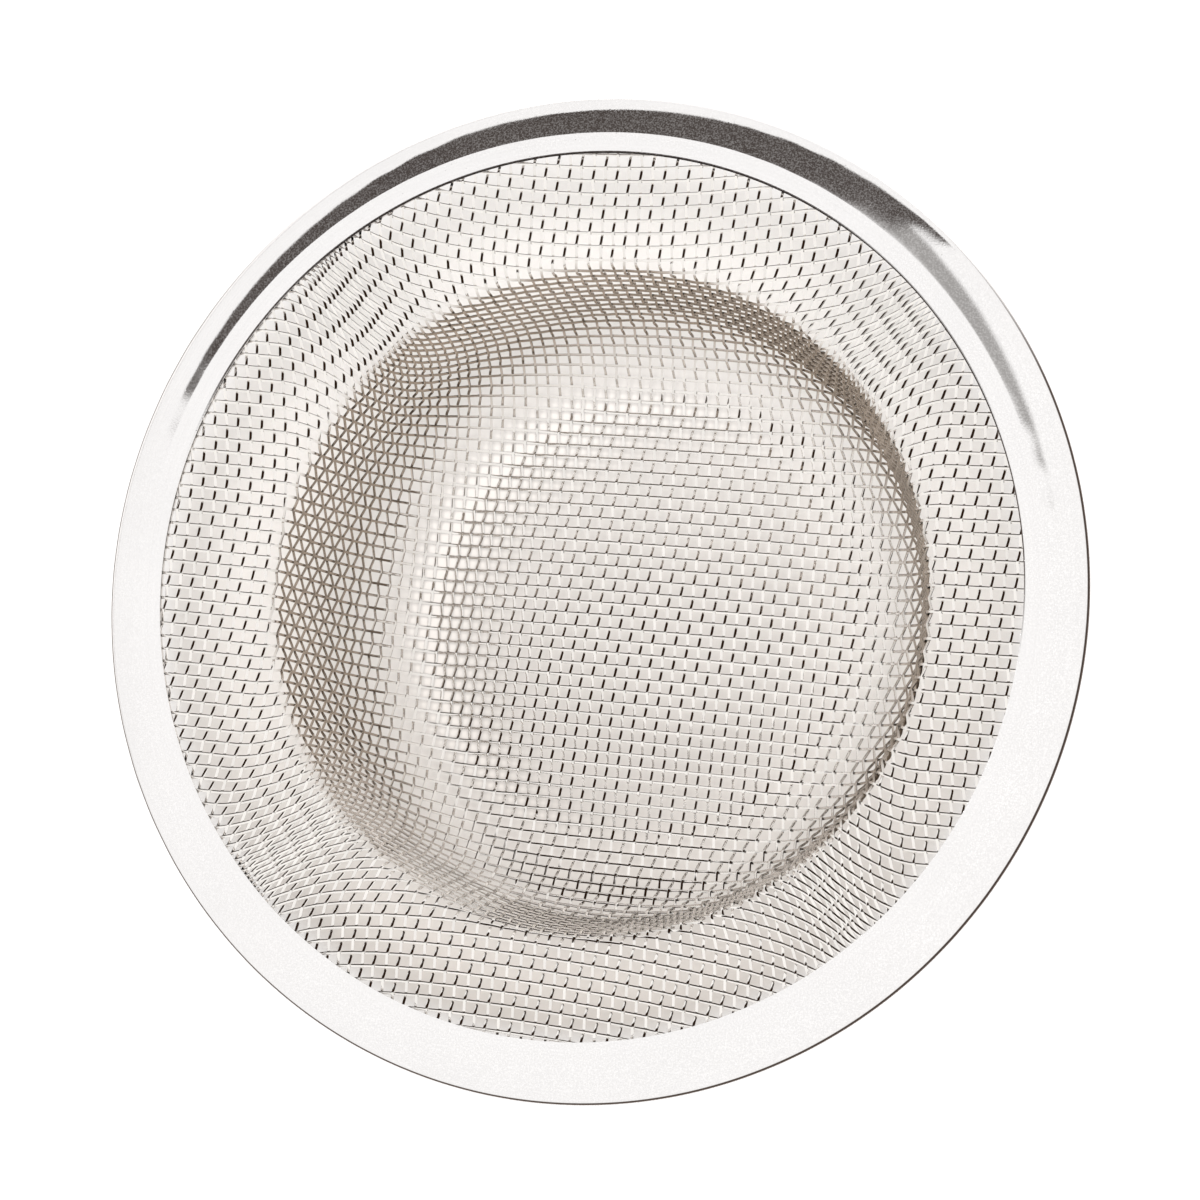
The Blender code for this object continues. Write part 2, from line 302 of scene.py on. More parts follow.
class StudioSizes(bpy.types.PropertyGroup):
    """Camera, floor and surround."""
    distance: FloatProperty(
        name="Distance", description="Camera's distance from the ring's centre", default=0.39,
        unit="LENGTH")
    lean: FloatProperty(
        name="Lean", description="Angle between the camera's line and the vertical",
        default=math.radians(16.8), unit="ROTATION")
    side: FloatProperty(
        name="Side", description="Direction to which the camera leans, from +X", default=math.radians(-26),
        unit="ROTATION")
    lens: FloatProperty(
        name="Lens", description="Focal length in millimetres for a 36 mm sensor", default=104.5)
    aim: FloatVectorProperty(
        name="Aim", description="Place at which the camera is aimed, from the ring's centre", size=2,
        default=(0.0026, -0.0011), unit="LENGTH", precision=4)
    floor: FloatProperty(name="Floor", description="Side of the floor", default=6.0, unit="LENGTH")
    floor_colour: FloatVectorProperty(
        name="Floor colour", description="Colour of the floor", subtype="COLOR",
        default=(0.26, 0.252, 0.247), min=0, max=1)
    turn: FloatProperty(
        name="Turn", description="How far camera, light and floor are turned against the weave",
        default=math.radians(6.5), unit="ROTATION")
    # The painted shade on the floor under the basket: a soft disc, darker towards its near end and under the
    # well
    shade_centre: FloatVectorProperty(
        name="Shade centre", description="Middle of the shaded floor under the basket", size=2,
        default=(-0.0073, 0.0036), unit="LENGTH", precision=4)
    shade_radius: FloatProperty(
        name="Shade radius", description="Radius of the shaded floor, to its soft edge", default=0.0535,
        unit="LENGTH", precision=4)
    shade_far: FloatVectorProperty(
        name="Shade far", description="Share of its light that the shaded floor shows at its far end",
        subtype="COLOR", default=(1.0, 0.975, 0.945), min=0, max=1)
    shade_near: FloatVectorProperty(
        name="Shade near", description="Share of its light that the shaded floor shows at its near end",
        subtype="COLOR", default=(0.72, 0.675, 0.63), min=0, max=1)
    shade_side: FloatProperty(
        name="Shade side", description="Direction in which the shade deepens, from +X",
        default=math.radians(-90), unit="ROTATION")
    well_shade: FloatProperty(
        name="Well shade", description="Share of that light which is left under the well", default=0.88,
        subtype="FACTOR", min=0, max=1)
    floor_glow: FloatProperty(
        name="Floor glow", description="White that the floor adds to its lit colour", default=0.46, min=0,
        max=1)
    lamp_power: FloatProperty(
        name="Lamp power", description="Power of the soft lamp that lights the floor, in watts",
        default=28.0)
    lamp_size: FloatProperty(
        name="Lamp size", description="Side of the soft lamp", default=0.5, unit="LENGTH")
    lamp_place: FloatVectorProperty(
        name="Lamp place", description="Place of the soft lamp", default=(0.22, -0.06, 0.9), unit="LENGTH")
    surround: FloatVectorProperty(
        name="Surround", description="Colour of the light overhead", subtype="COLOR",
        default=(1.0, 0.995, 0.99), min=0, max=1)
    low: FloatVectorProperty(
        name="Low", description="Colour near the horizon", subtype="COLOR", default=(0.09, 0.07, 0.056),
        min=0, max=1)
    low_axis: FloatVectorProperty(
        name="Light axis", description="Direction of the middle of the light overhead, with Z as 1",
        default=(-0.2, 0.1, 1.0))
    low_edge: FloatProperty(
        name="Light edge", description="Height at which the light ends, along its axis", default=0.02)
    gap: FloatVectorProperty(
        name="Gap", description="Colour seen through the light's opening", subtype="COLOR",
        default=(0.028, 0.015, 0.009), min=0, max=1)
    gap_from: FloatVectorProperty(
        name="Gap from", description="Near corner of the opening", size=2, default=(-1.2, 0.34))
    gap_to: FloatVectorProperty(
        name="Gap to", description="Far corner of the opening", size=2, default=(1.6, 2.3))
    gap_slant: FloatProperty(
        name="Gap slant", description="Slope of the line that cuts off the opening's near left corner",
        default=0.5)
    gap_side: FloatProperty(name="Gap side", description="Slope of the opening's right side", default=0.787)
    gap_side_start: FloatProperty(
        name="Gap side start",
        description="Where the opening's right side meets the level line through the point overhead",
        default=-0.39)
    haze: FloatVectorProperty(
        name="Haze", description="Colour of the half shade beside the opening", subtype="COLOR",
        default=(0.36, 0.35, 0.34), min=0, max=1)
    haze_from: FloatVectorProperty(
        name="Haze from", description="Near corner of the half shade", size=2, default=(0.0, 0.3))
    haze_to: FloatVectorProperty(
        name="Haze to", description="Far corner of the half shade", size=2, default=(0.42, 2.2))


class PressedForm:
    """The surface in the middle of the cloth, as a height over the plan."""

    def __init__(self, sizes, mouth_radius, foot_height, mouth_height):
        self.centre = np.array(sizes.foot_offset)
        self.circles = (sizes.dome_edge, sizes.fold_radius, mouth_radius)
        self.centres = np.array((sizes.foot_offset, sizes.fold_offset, (0.0, 0.0)))
        self.lean_to = np.array((math.cos(sizes.lean_side), math.sin(sizes.lean_side)))
        self.lean_rise = sizes.lean_rise
        self.dome_edge = sizes.dome_edge
        draw = np.random.default_rng(sizes.seed + 1)
        reach = sizes.fold_radius * (DENTS_FROM + DENTS_SPREAD * draw.random(sizes.dents))
        turn = draw.random(sizes.dents) * math.tau
        self.dents = np.stack([reach * np.cos(turn), reach * np.sin(turn)], axis=-1)
        self.depths = sizes.dent_depth * draw.uniform(-1, 1, sizes.dents)
        self.dent_width = sizes.dent_width
        self.fold = sizes.fold_radius
        self.radii, self.heights = self.profile(sizes, mouth_radius, mouth_height - foot_height)
        self.heights = self.heights - self.heights.min() + foot_height
        turn = np.linspace(0, math.tau, FOOT_TURNS)
        around = np.stack([np.cos(turn), np.sin(turn)], axis=-1)
        foot = self.centre + around[:, None] * np.linspace(0, self.fold, FOOT_RADII)[None, :, None]
        self.heights = self.heights + (foot_height - self.height(foot).min()) * self.raised(self.radii)

    @staticmethod
    def profile(sizes, mouth_radius, rise):
        """Radius and height along the half section, by bends and straights from the centre to the mouth."""
        dome = 2 * math.atan(sizes.dome_rise / sizes.dome_edge)
        base, wall, flange = sizes.base_slope, sizes.wall_slope, sizes.flange_slope
        bends = (
            (sizes.foot_bend, -dome, base),
            (sizes.wall_bend, base, wall),
            (sizes.fold_bend, wall, flange),
        )
        bends_run = sum(r * abs(math.sin(b) - math.sin(a)) for r, a, b in bends)
        run = sizes.fold_radius - sizes.dome_edge - bends_run
        flange_run = mouth_radius - sizes.fold_radius - sizes.mouth_bend * math.sin(flange)
        flange_rise = flange_run * math.tan(flange) + sizes.mouth_bend * (1 - math.cos(flange))
        depth = rise - flange_rise - sizes.foot_bend * (1 - math.cos(base))
        depth -= sum(r * abs(math.cos(b) - math.cos(a)) for r, a, b in bends[1:])
        turn = math.sin(wall - base)
        stretches = (
            (sizes.dome_edge / math.sin(dome) * dome, -dome),
            (sizes.foot_bend * (dome + base), base),
            ((run * math.sin(wall) - depth * math.cos(wall)) / turn, base),
            (sizes.wall_bend * (wall - base), wall),
            ((depth * math.cos(base) - run * math.sin(base)) / turn, wall),
            (sizes.fold_bend * (wall - flange), flange),
            (flange_run / math.cos(flange), flange),
            (sizes.mouth_bend * flange, 0.0),
            (mouth_radius, 0.0),
        )
        arcs = np.cumsum([0.0] + [length for length, _ in stretches])
        slopes = [0.0] + [slope for _, slope in stretches]
        arc = np.arange(0, arcs[-1], TABLE_STEP)
        slope = np.interp(arc + TABLE_STEP / 2, arcs, slopes)
        radius = np.concatenate([[0.0], np.cumsum(np.cos(slope) * TABLE_STEP)])
        height = np.concatenate([[0.0], np.cumsum(np.sin(slope) * TABLE_STEP)])
        return radius, height

    def radius(self, plan):
        """Radius of the form's own circle through each place: foot, fold and mouth have their own centres."""
        radius = np.linalg.norm(plan, axis=-1)
        for _ in range(CENTRE_ROUNDS):
            centre = [np.interp(radius, self.circles, self.centres[:, axis]) for axis in (0, 1)]
            radius = np.linalg.norm(plan - np.stack(centre, axis=-1), axis=-1)
        return radius

    def height(self, plan):
        """Height of the surface over places in the plan."""
        radius = self.radius(plan)
        leant = ((plan - self.centre) @ self.lean_to / self.dome_edge + 1) / 2 * self.lean_rise
        level = np.interp(radius, self.radii, self.heights) + leant * self.raised(radius)
        for dent, depth in zip(self.dents, self.depths):
            near = np.sum((plan - dent) ** 2, axis=-1) / self.dent_width ** 2
            level = level + depth * np.exp(-near)
        return level

    def raised(self, radius):
        """How fully the bottom's lean applies: all of it within the foot and none from the fold on."""
        share = np.clip((self.fold - radius) / (self.fold - self.dome_edge), 0, 1)
        return share * share * (3 - 2 * share)

    def point(self, plan):
        """Points of the surface over places in the plan."""
        return np.concatenate([plan, self.height(plan)[..., None]], axis=-1)

    def slopes(self, plan):
        """Slopes of the surface along X and Y."""
        step = np.array([SLOPE_STEP, 0.0])
        along_x = (self.height(plan + step) - self.height(plan - step)) / (2 * SLOPE_STEP)
        along_y = (self.height(plan + step[::-1]) - self.height(plan - step[::-1])) / (2 * SLOPE_STEP)
        return along_x, along_y

    def normal(self, plan):
        """Upward normals of the surface."""
        along_x, along_y = self.slopes(plan)
        normal = np.stack([-along_x, -along_y, np.ones_like(along_x)], axis=-1)
        return normal / np.linalg.norm(normal, axis=-1, keepdims=True)


def middle_wire(form, steps, axis, side):
    """Places along the straight middle wire from the well's centre, one spacing apart along the cloth."""
    places = [np.array(form.centre)]
    direction = np.eye(2)[axis] * side
    for step in steps:
        run = step
        for _ in range(NET_ROUNDS):
            place = places[-1] + direction * run
            reached = np.linalg.norm(form.point(place) - form.point(places[-1]))
            run *= step / reached
        places.append(places[-1] + direction * run)
    return np.array(places)


def drawn_net(form, spacing_x, spacing_y):
    """Plan places of all crossings, over the warp wires' numbers and then the weft wires' numbers."""
    count = len(spacing_x) // 2
    quarter = np.zeros((len(QUADRANTS), count + 1, count + 1, 2))
    steps_x, steps_y = np.zeros((2, len(QUADRANTS), count))
    for index, (side_x, side_y) in enumerate(QUADRANTS):
        steps_x[index] = spacing_x[count:] if side_x > 0 else spacing_x[:count][::-1]
        steps_y[index] = spacing_y[count:] if side_y > 0 else spacing_y[:count][::-1]
        quarter[index, :, 0] = middle_wire(form, steps_x[index], 0, side_x)
        quarter[index, 0, :] = middle_wire(form, steps_y[index], 1, side_y)
    # The crossings of a diagonal are found together, from those of the diagonals before it
    for diagonal in range(2, 2 * count + 1):
        i = np.arange(max(1, diagonal - count), min(count, diagonal - 1) + 1)
        j = diagonal - i
        before = (quarter[:, i - 1, j], quarter[:, i, j - 1])
        anchors = [form.point(place) for place in before]
        lengths = (steps_x[:, i - 1], steps_y[:, j - 1])
        place = before[0] + before[1] - quarter[:, i - 1, j - 1]
        # Each round moves a crossing to where both its wires would have their lengths on a flat surface
        for _ in range(NET_ROUNDS):
            here = form.point(place)
            along_x, along_y = form.slopes(place)
            rows, errors = [], []
            for anchor, length in zip(anchors, lengths):
                apart = here - anchor
                distance = np.linalg.norm(apart, axis=-1)
                rows.append(((apart[..., 0] + apart[..., 2] * along_x) / distance,
                             (apart[..., 1] + apart[..., 2] * along_y) / distance))
                errors.append(distance - length)
            (a, b), (c, d) = rows
            area = a * d - b * c
            area = np.where(np.abs(area) < SMALLEST_TURN, np.copysign(SMALLEST_TURN, area), area)
            move = np.stack([d * errors[0] - b * errors[1], a * errors[1] - c * errors[0]], axis=-1)
            move = move / area[..., None]
            climb = move[..., 0] * along_x + move[..., 1] * along_y
            size = np.sqrt((move ** 2).sum(axis=-1) + climb ** 2)[..., None]
            longest = LONGEST_MOVE_SHARE * lengths[0][..., None]
            place = place - move * np.minimum(1, longest / np.maximum(size, TABLE_STEP ** 2))
        quarter[:, i, j] = place
    net = np.zeros((2 * count + 1, 2 * count + 1, 2))
    for index, (side_x, side_y) in enumerate(QUADRANTS):
        rows = count + side_x * np.arange(count + 1)
        columns = count + side_y * np.arange(count + 1)
        net[np.ix_(rows, columns)] = quarter[index]
    return net


def smooth_line(nodes, where):
    """Catmull-Rom line through evenly numbered nodes, read at fractional numbers."""
    base = np.clip(np.floor(where).astype(int), 1, len(nodes) - 3)
    t = (where - base)[:, None]
    a, b, c, d = (nodes[base + shift] for shift in (-1, 0, 1, 2))
    return b + ((c - a) + ((2 * a - 5 * b + 4 * c - d) + (3 * (b - c) + d - a) * t) * t) * t / 2


def wire_path(form, nodes, number, rise, sizes, end_radius):
    """Centre line of one wire with its surface normals, cut where it ends in the ring."""
    reach = np.linalg.norm(nodes, axis=1)
    inside = np.flatnonzero(reach < end_radius)
    if len(inside) < 2:
        return None
    if inside[0] == 0 or inside[-1] == len(reach) - 1:
        raise ValueError(f"wire {number} doesn't reach the ring")
    ends = []
    for last, beyond in ((inside[0], inside[0] - 1), (inside[-1], inside[-1] + 1)):
        share = (end_radius - reach[last]) / (reach[beyond] - reach[last])
        ends.append(last + (beyond - last) * share)
    run = np.linspace(ends[0], ends[1], max(2, round((ends[1] - ends[0]) * sizes.steps)) + 1)
    plan = smooth_line(nodes, run)
    swing = np.arcsin(sizes.sharpness_share * np.cos(np.pi * (run + number)))
    lift = rise * swing / math.asin(sizes.sharpness_share)
    normals = form.normal(plan)
    return form.point(plan) + normals * lift[:, None], normals


def tube(path, normals, radius, sides):
    """Vertices of a round tube along a path, ring by ring, and the direction of its crown at each ring."""
    tangent = np.gradient(path, axis=0)
    tangent /= np.linalg.norm(tangent, axis=1, keepdims=True)
    crown = normals - tangent * (normals * tangent).sum(axis=1, keepdims=True)
    crown /= np.linalg.norm(crown, axis=1, keepdims=True)
    across = np.cross(tangent, crown)
    angle = np.arange(sides) * 2 * np.pi / sides
    spread = crown[:, None] * np.cos(angle)[None, :, None] + across[:, None] * np.sin(angle)[None, :, None]
    return path[:, None] + radius * spread, crown


def quad_map(*corners):
    """Bake map of quads, from the two coordinates of each of their corners."""
    return np.stack([np.stack(corner, axis=-1) for corner in corners], axis=-2)


def wires_mesh(name, paths, radius, sides, tones):
    """One mesh of several closed tubes, with its bake map and the tone, steepness and crown of each point."""
    points, quads, caps, uvs, cap_uvs, shades, steeps, crowns = ([] for _ in range(8))
    start = 0
    for index, (path, normals) in enumerate(paths):
        rings = len(path)
        skin, crown = tube(path, normals, radius, sides)
        points.append(skin.reshape(-1, 3))
        ring, side = np.meshgrid(np.arange(rings - 1), np.arange(sides), indexing="ij")
        after = (side + 1) % sides
        corners = (ring * sides + side, ring * sides + after,
                   (ring + 1) * sides + after, (ring + 1) * sides + side)
        quads.append(start + np.stack(corners, axis=-1).reshape(-1, 4))
        left, right = (index + side / sides) / len(paths), (index + (side + 1) / sides) / len(paths)
        low, high = ring / (rings - 1), (ring + 1) / (rings - 1)
        uvs.append(quad_map((left, low), (right, low), (right, high), (left, high)).reshape(-1, 2))
        for first, order in ((0, -1), ((rings - 1) * sides, 1)):
            caps.append(start + first + np.arange(sides)[::order])
            cap_uvs.append(np.tile([index / len(paths), first / (rings * sides)], (sides, 1)))
        shades.append(np.full(rings * sides, tones[index]))
        steeps.append(np.repeat(1 - normals[:, 2], sides))
        crowns.append(np.repeat(crown, sides, axis=0))
        start += rings * sides
    points, quads, caps = np.concatenate(points), np.concatenate(quads), np.array(caps)
    mesh = bpy.data.meshes.new(name)
    mesh.vertices.add(len(points))
    mesh.vertices.foreach_set("co", points.ravel())
    mesh.loops.add(quads.size + caps.size)
    mesh.loops.foreach_set("vertex_index", np.concatenate([quads.ravel(), caps.ravel()]))
    mesh.polygons.add(len(quads) + len(caps))
    starts = np.concatenate([np.arange(len(quads)) * 4, quads.size + np.arange(len(caps)) * sides])
    mesh.polygons.foreach_set("loop_start", starts)
    mesh.update(calc_edges=True)
    mesh.shade_smooth()
    for label, values in (("tone", shades), ("steep", steeps)):
        mesh.attributes.new(label, "FLOAT", "POINT").data.foreach_set("value", np.concatenate(values))
    crown_layer = mesh.attributes.new("crown", "FLOAT_VECTOR", "POINT")
    crown_layer.data.foreach_set("vector", np.concatenate(crowns).ravel())
    mesh.uv_layers.new(name="OFBake").data.foreach_set("uv", np.concatenate(uvs + cap_uvs).ravel())
    return mesh


def add_object(context, name, data):
    """A new object in the scene."""
    made = bpy.data.objects.new(name, data)
    context.scene.collection.objects.link(made)
    return made


def weave(context, direction):
    """The wires of one direction, as grouped pieces that stand for the model's wires."""
    sizes, ring = context.scene.strainer_cloth, context.scene.strainer_ring
    mouth = RING_RADIUS - ring.band
    cloth_half = sizes.wire * (max(sizes.warp_crimp_share, 1 - sizes.warp_crimp_share) + 0.5)
    form = PressedForm(sizes, mouth, cloth_half, RING_HIGH.z - ring.sheet - cloth_half)
    pitches = np.array((sizes.warp_pitch, sizes.weft_pitch))
    end_radius = mouth + sizes.clamp
    count = math.ceil(end_radius / pitches.min() * NET_REACH_SHARE)
    draw = np.random.default_rng(sizes.seed)
    errors = sizes.spacing_error_share * draw.standard_normal((2, 2 * count))
    net = drawn_net(form, *(pitches[:, None] * (1 + errors)))
    is_warp = direction == "warp"
    if not is_warp:
        net = net.transpose(1, 0, 2)
    rise = sizes.wire * (sizes.warp_crimp_share if is_warp else sizes.warp_crimp_share - 1)
    paths = [wire_path(form, line, number, rise, sizes, end_radius) for number, line in enumerate(net)]
    paths = [path for path in paths if path is not None]
    nodes = WARP_NODES if is_warp else WEFT_NODES
    axis = 0 if is_warp else 1
    places = np.array([path[0][:, axis].mean() for path in paths])
    homes = np.array([(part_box(node)[0][axis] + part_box(node)[1][axis]) / 2 for node in nodes])
    share = np.array_split(np.arange(len(paths)), sizes.groups)
    edges = [-np.inf] + [places[part[-1]] for part in share[:-1]] + [np.inf]
    material = wire_steel(context, direction)
    for index, part in enumerate(share):
        name = f"{direction}_wires_{index + 1}"
        mesh = wires_mesh(name, [paths[k] for k in part], sizes.wire / 2, sizes.sides, draw.random(len(part)))
        mesh.materials.append(material)
        piece = add_object(context, name, mesh)
        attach(piece, "root")
        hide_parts(*[n for n, x in zip(nodes, homes) if edges[index] < x <= edges[index + 1]])


def fill(tree, socket, value):
    """Link a socket to an output, or set it to a value."""
    if isinstance(value, bpy.types.NodeSocket):
        tree.links.new(value, socket)
    else:
        socket.default_value = value


def add_node(tree, kind, inputs=(), **settings):
    """A shader node with its settings made and its inputs filled, in their order or by name."""
    made = tree.nodes.new(f"ShaderNode{kind}")
    for key, value in settings.items():
        setattr(made, key, value)
    for key, value in inputs.items() if isinstance(inputs, dict) else enumerate(inputs):
        fill(tree, made.inputs[key], value)
    return made


def combined(tree, operation, *numbers):
    """Output of a sum, product or comparison of numbers."""
    return add_node(tree, "Math", numbers, operation=operation).outputs["Value"]


def vectors(tree, operation, *parts, result="Vector"):
    """Output of a sum, product or length of vectors."""
    return add_node(tree, "VectorMath", parts, operation=operation).outputs[result]


def scaled(tree, vector, scale):
    """Output of a vector or colour times a number."""
    return add_node(tree, "VectorMath", {0: vector, "Scale": scale}, operation="SCALE").outputs["Vector"]


def carried(tree, value, source, target=(0.0, 1.0), kind="SMOOTHSTEP"):
    """Output of a value that is carried over from its own range to another one."""
    return add_node(tree, "MapRange", (value, *source, *target), interpolation_type=kind).outputs["Result"]


def edged(tree, value, place, softness, target=(0.0, 1.0)):
    """Output of a mask that changes softly where a value passes a place."""
    return carried(tree, value, (place - softness, place + softness), target)


def mixed(tree, share, first, second):
    """Output of a colour between two others."""
    inputs = {"Factor": share, "A": first, "B": second}
    return add_node(tree, "Mix", inputs, data_type="RGBA").outputs["Result"]


def own_place(tree):
    """Output of the places in the object's own axes."""
    return add_node(tree, "TexCoord").outputs["Object"]


def side_place(tree, place):
    """Output of the places' Y."""
    return add_node(tree, "SeparateXYZ", (place,)).outputs["Y"]


def steel_marks_group():
    """Shader group of the fine marks that all the steel here has: pits, cloudy tone and their height."""
    group = bpy.data.node_groups.get("Steel Marks")
    if group:
        return group
    group = bpy.data.node_groups.new("Steel Marks", "ShaderNodeTree")
    group.interface.new_socket("Vector", in_out="INPUT", socket_type="NodeSocketVector")
    for way, names in (("INPUT", ("Cloud Scale", "Pit Scale")), ("OUTPUT", ("Cloud", "Height"))):
        for name in names:
            group.interface.new_socket(name, in_out=way, socket_type="NodeSocketFloat")
    start = group.nodes.new("NodeGroupInput").outputs
    end = group.nodes.new("NodeGroupOutput").inputs
    vector = start["Vector"]
    cloud = {"Vector": vector, "Scale": start["Cloud Scale"], "Detail": CLOUD_DETAIL}
    pits = {"Vector": vector, "Scale": start["Pit Scale"], "Detail": PIT_DETAIL}
    fill(group, end["Cloud"], add_node(group, "TexNoise", cloud).outputs["Fac"])
    depth = add_node(group, "TexNoise", pits).outputs["Fac"]
    fill(group, end["Height"], carried(group, depth, PIT_RANGE))
    return group


def steel_marks(tree, place, clouds, pits):
    """Outputs of the steel marks in a material, at its own scales."""
    return add_node(tree, "Group", (place, clouds, pits), node_tree=steel_marks_group()).outputs


def fill_shader(tree, values):
    """Fill inputs of a material's shader by their names."""
    for name, value in values.items():
        fill(tree, tree.nodes["Principled BSDF"].inputs[name], value)


def steel_material(name, colour, roughness):
    """A metallic material and its tree."""
    material = bpy.data.materials.new(name)
    material.use_nodes = True
    tree = material.node_tree
    fill_shader(tree, {"Base Color": (*colour, 1), "Metallic": 1.0, "Roughness": roughness})
    return material, tree


def clouded_roughness(tree, marks, roughness, shares):
    """Output of a roughness that follows the clouds, between two shares of its mean."""
    return carried(tree, marks["Cloud"], CLOUD_RANGE, [roughness * share for share in shares], "LINEAR")


def wire_value(tree, name, output="Fac"):
    """Output of one of the values that the wires' points carry."""
    return add_node(tree, "Attribute", attribute_name=name).outputs[output]


def wire_surface(tree, flatness):
    """Output of the wires' normals, turned towards those of the crowns that the press flattened."""
    turned = add_node(tree, "VectorTransform", (wire_value(tree, "crown", "Vector"),), vector_type="NORMAL",
                      convert_from="OBJECT", convert_to="WORLD").outputs["Vector"]
    surface = add_node(tree, "NewGeometry").outputs["Normal"]
    flattened = vectors(tree, "ADD", scaled(tree, turned, flatness), surface)
    return vectors(tree, "NORMALIZE", flattened)


def wire_steel(context, direction):
    """Drawn wire: its own tone for each wire, cloudy stains, pits, and a painted brown shade on the steep
    wall.
    """
    finish = context.scene.strainer_finish
    is_warp = direction == "warp"
    colour = finish.warp_colour if is_warp else finish.weft_colour
    flatness = finish.warp_flatness if is_warp else finish.weft_flatness
    material, tree = steel_material(f"{direction}_steel", colour, finish.wire_roughness)
    place = own_place(tree)
    marks = steel_marks(tree, place, WIRE_CLOUDS, WIRE_PITS)
    tone = combined(tree, "ADD", marks["Cloud"], wire_value(tree, "tone"))
    shade = carried(tree, tone, WIRE_TONES, WIRE_SHADES, "LINEAR")
    # Painted shade: the steep wall's wires are darkened towards a brown, least on the -Y side
    steep_shade = carried(tree, wire_value(tree, "steep"), STEEP_RANGE)
    side_shade = carried(tree, side_place(tree, place), WALL_SHADE_SIDES, (LEAST_WALL_SHADE, 1.0))
    wall_shade_share = combined(tree, "MULTIPLY", steep_shade, side_shade)
    paint = mixed(tree, wall_shade_share, scaled(tree, tuple(colour), shade), (*finish.wall_shade_colour, 1))
    relief = {**WIRE_BUMP, "Height": marks["Height"], "Normal": wire_surface(tree, flatness)}
    fill_shader(tree, {
        "Base Color": paint,
        "Roughness": clouded_roughness(tree, marks, finish.wire_roughness, WIRE_ROUGH_SHARES),
        "Normal": add_node(tree, "Bump", relief).outputs["Normal"],
    })
    return material


def ring_edge_shade(tree, place, radius, width, mouth):
    """Mask of the painted shade along the front of the outer edge and of the painted shadow line along the
    back of the cut inner edge.
    """
    hem = carried(tree, radius, (RING_RADIUS - width * HEM_SOFT_EDGE, RING_RADIUS - width))
    front = carried(tree, side_place(tree, place), FRONT_RANGE, FALLING)
    lip = carried(tree, radius, (mouth + width * LIP_SOFT_EDGE, mouth + width), FALLING)
    toward = vectors(tree, "DOT_PRODUCT", place, BACK, result="Value")
    back = carried(tree, toward, [mouth * share for share in BACK_SHARES])
    outer, inner = combined(tree, "MULTIPLY", hem, front), combined(tree, "MULTIPLY", lip, back)
    return combined(tree, "MAXIMUM", outer, inner)


def ring_relief(tree, place, pits):
    """Output of the ring's height: pits and a few round specks."""
    specks = add_node(tree, "TexVoronoi", {"Vector": place, "Scale": SPECKS}).outputs
    chance = add_node(tree, "SeparateColor", (specks["Color"],)).outputs["Red"]
    few = combined(tree, "GREATER_THAN", chance, SPECK_RARITY)
    dot = carried(tree, specks["Distance"], SPECK_EDGE, FALLING)
    return combined(tree, "MULTIPLY_ADD", combined(tree, "MULTIPLY", few, dot), SPECK_HEIGHT, pits)


def ring_steel(context):
    """Polished sheet: clouded tone, rolling lines round the ring, specks, dust, and painted shade lines at
    its edges.
    """
    finish = context.scene.strainer_finish
    material, tree = steel_material("ring_steel", finish.ring_colour, finish.ring_roughness)
    place = own_place(tree)
    marks = steel_marks(tree, place, RING_CLOUDS, RING_PITS)
    flat = vectors(tree, "MULTIPLY", place, (1, 1, 0))
    radius = vectors(tree, "LENGTH", flat, result="Value")
    lines_at = add_node(tree, "CombineXYZ", (radius,)).outputs["Vector"]
    lines = {"Vector": lines_at, "Scale": RING_LINES, "Detail": LINE_DETAIL}
    tone = combined(tree, "MULTIPLY", add_node(tree, "TexNoise", lines).outputs["Fac"], marks["Cloud"])
    shade = carried(tree, tone, RING_TONES, RING_SHADES, "LINEAR")
    mouth = RING_RADIUS - context.scene.strainer_ring.band
    # Painted shade: dark lines along the front of the outer edge and the back of the cut inner edge
    edge_shade = ring_edge_shade(tree, place, radius, finish.edge_shade_width, mouth)
    paint = mixed(tree, edge_shade, scaled(tree, tuple(finish.ring_colour), shade), (*finish.edge_shade_colour, 1))
    relief = {**RING_BUMP, "Height": ring_relief(tree, place, marks["Height"])}
    fill_shader(tree, {
        "Base Color": paint,
        "Metallic": carried(tree, marks["Height"], DUST_RANGE, DUST_METALLIC, "LINEAR"),
        "Roughness": clouded_roughness(tree, marks, finish.ring_roughness, RING_ROUGH_SHARES),
        "Normal": add_node(tree, "Bump", relief).outputs["Normal"],
    })
    return material


def strip_line(sizes):
    """Middle line of the folded strip in radius, height and heading, from the lower leaf round to the lip."""
    mouth = RING_RADIUS - sizes.band
    radius = RING_RADIUS - sizes.sheet / 2 - sizes.hem_bend
    height = RING_LOW.z + sizes.sheet / 2
    heading = 0.0
    hem_top = height + sizes.hem_bend * (1 + math.cos(sizes.crown_slope))
    crown_rise = RING_HIGH.z - sizes.sheet / 2 - hem_top
    crown_bend = crown_rise / (math.cos(sizes.crease_slope) - math.cos(sizes.crown_slope))
    line = [(mouth + sizes.setback, height, heading), (radius, height, heading)]
    bends = (
        (sizes.hem_bend, math.pi - sizes.crown_slope, HEM_STEPS),
        (crown_bend, sizes.crown_slope - sizes.crease_slope, CROWN_STEPS),
    )
    for bend, turn, steps in bends:
        first = heading
        for step in range(1, steps + 1):
            heading = first + turn * step / steps
            line.append((radius + bend * (math.sin(heading) - math.sin(first)),
                         height + bend * (math.cos(first) - math.cos(heading)), heading))
        radius, height = line[-1][:2]
    land = [radius - sizes.crease, radius - sizes.crease * 2]
    lip = [mouth + sizes.lip_run * share for share in LIP_SHARES]
    return line + [(place, height, math.pi) for place in land + lip]


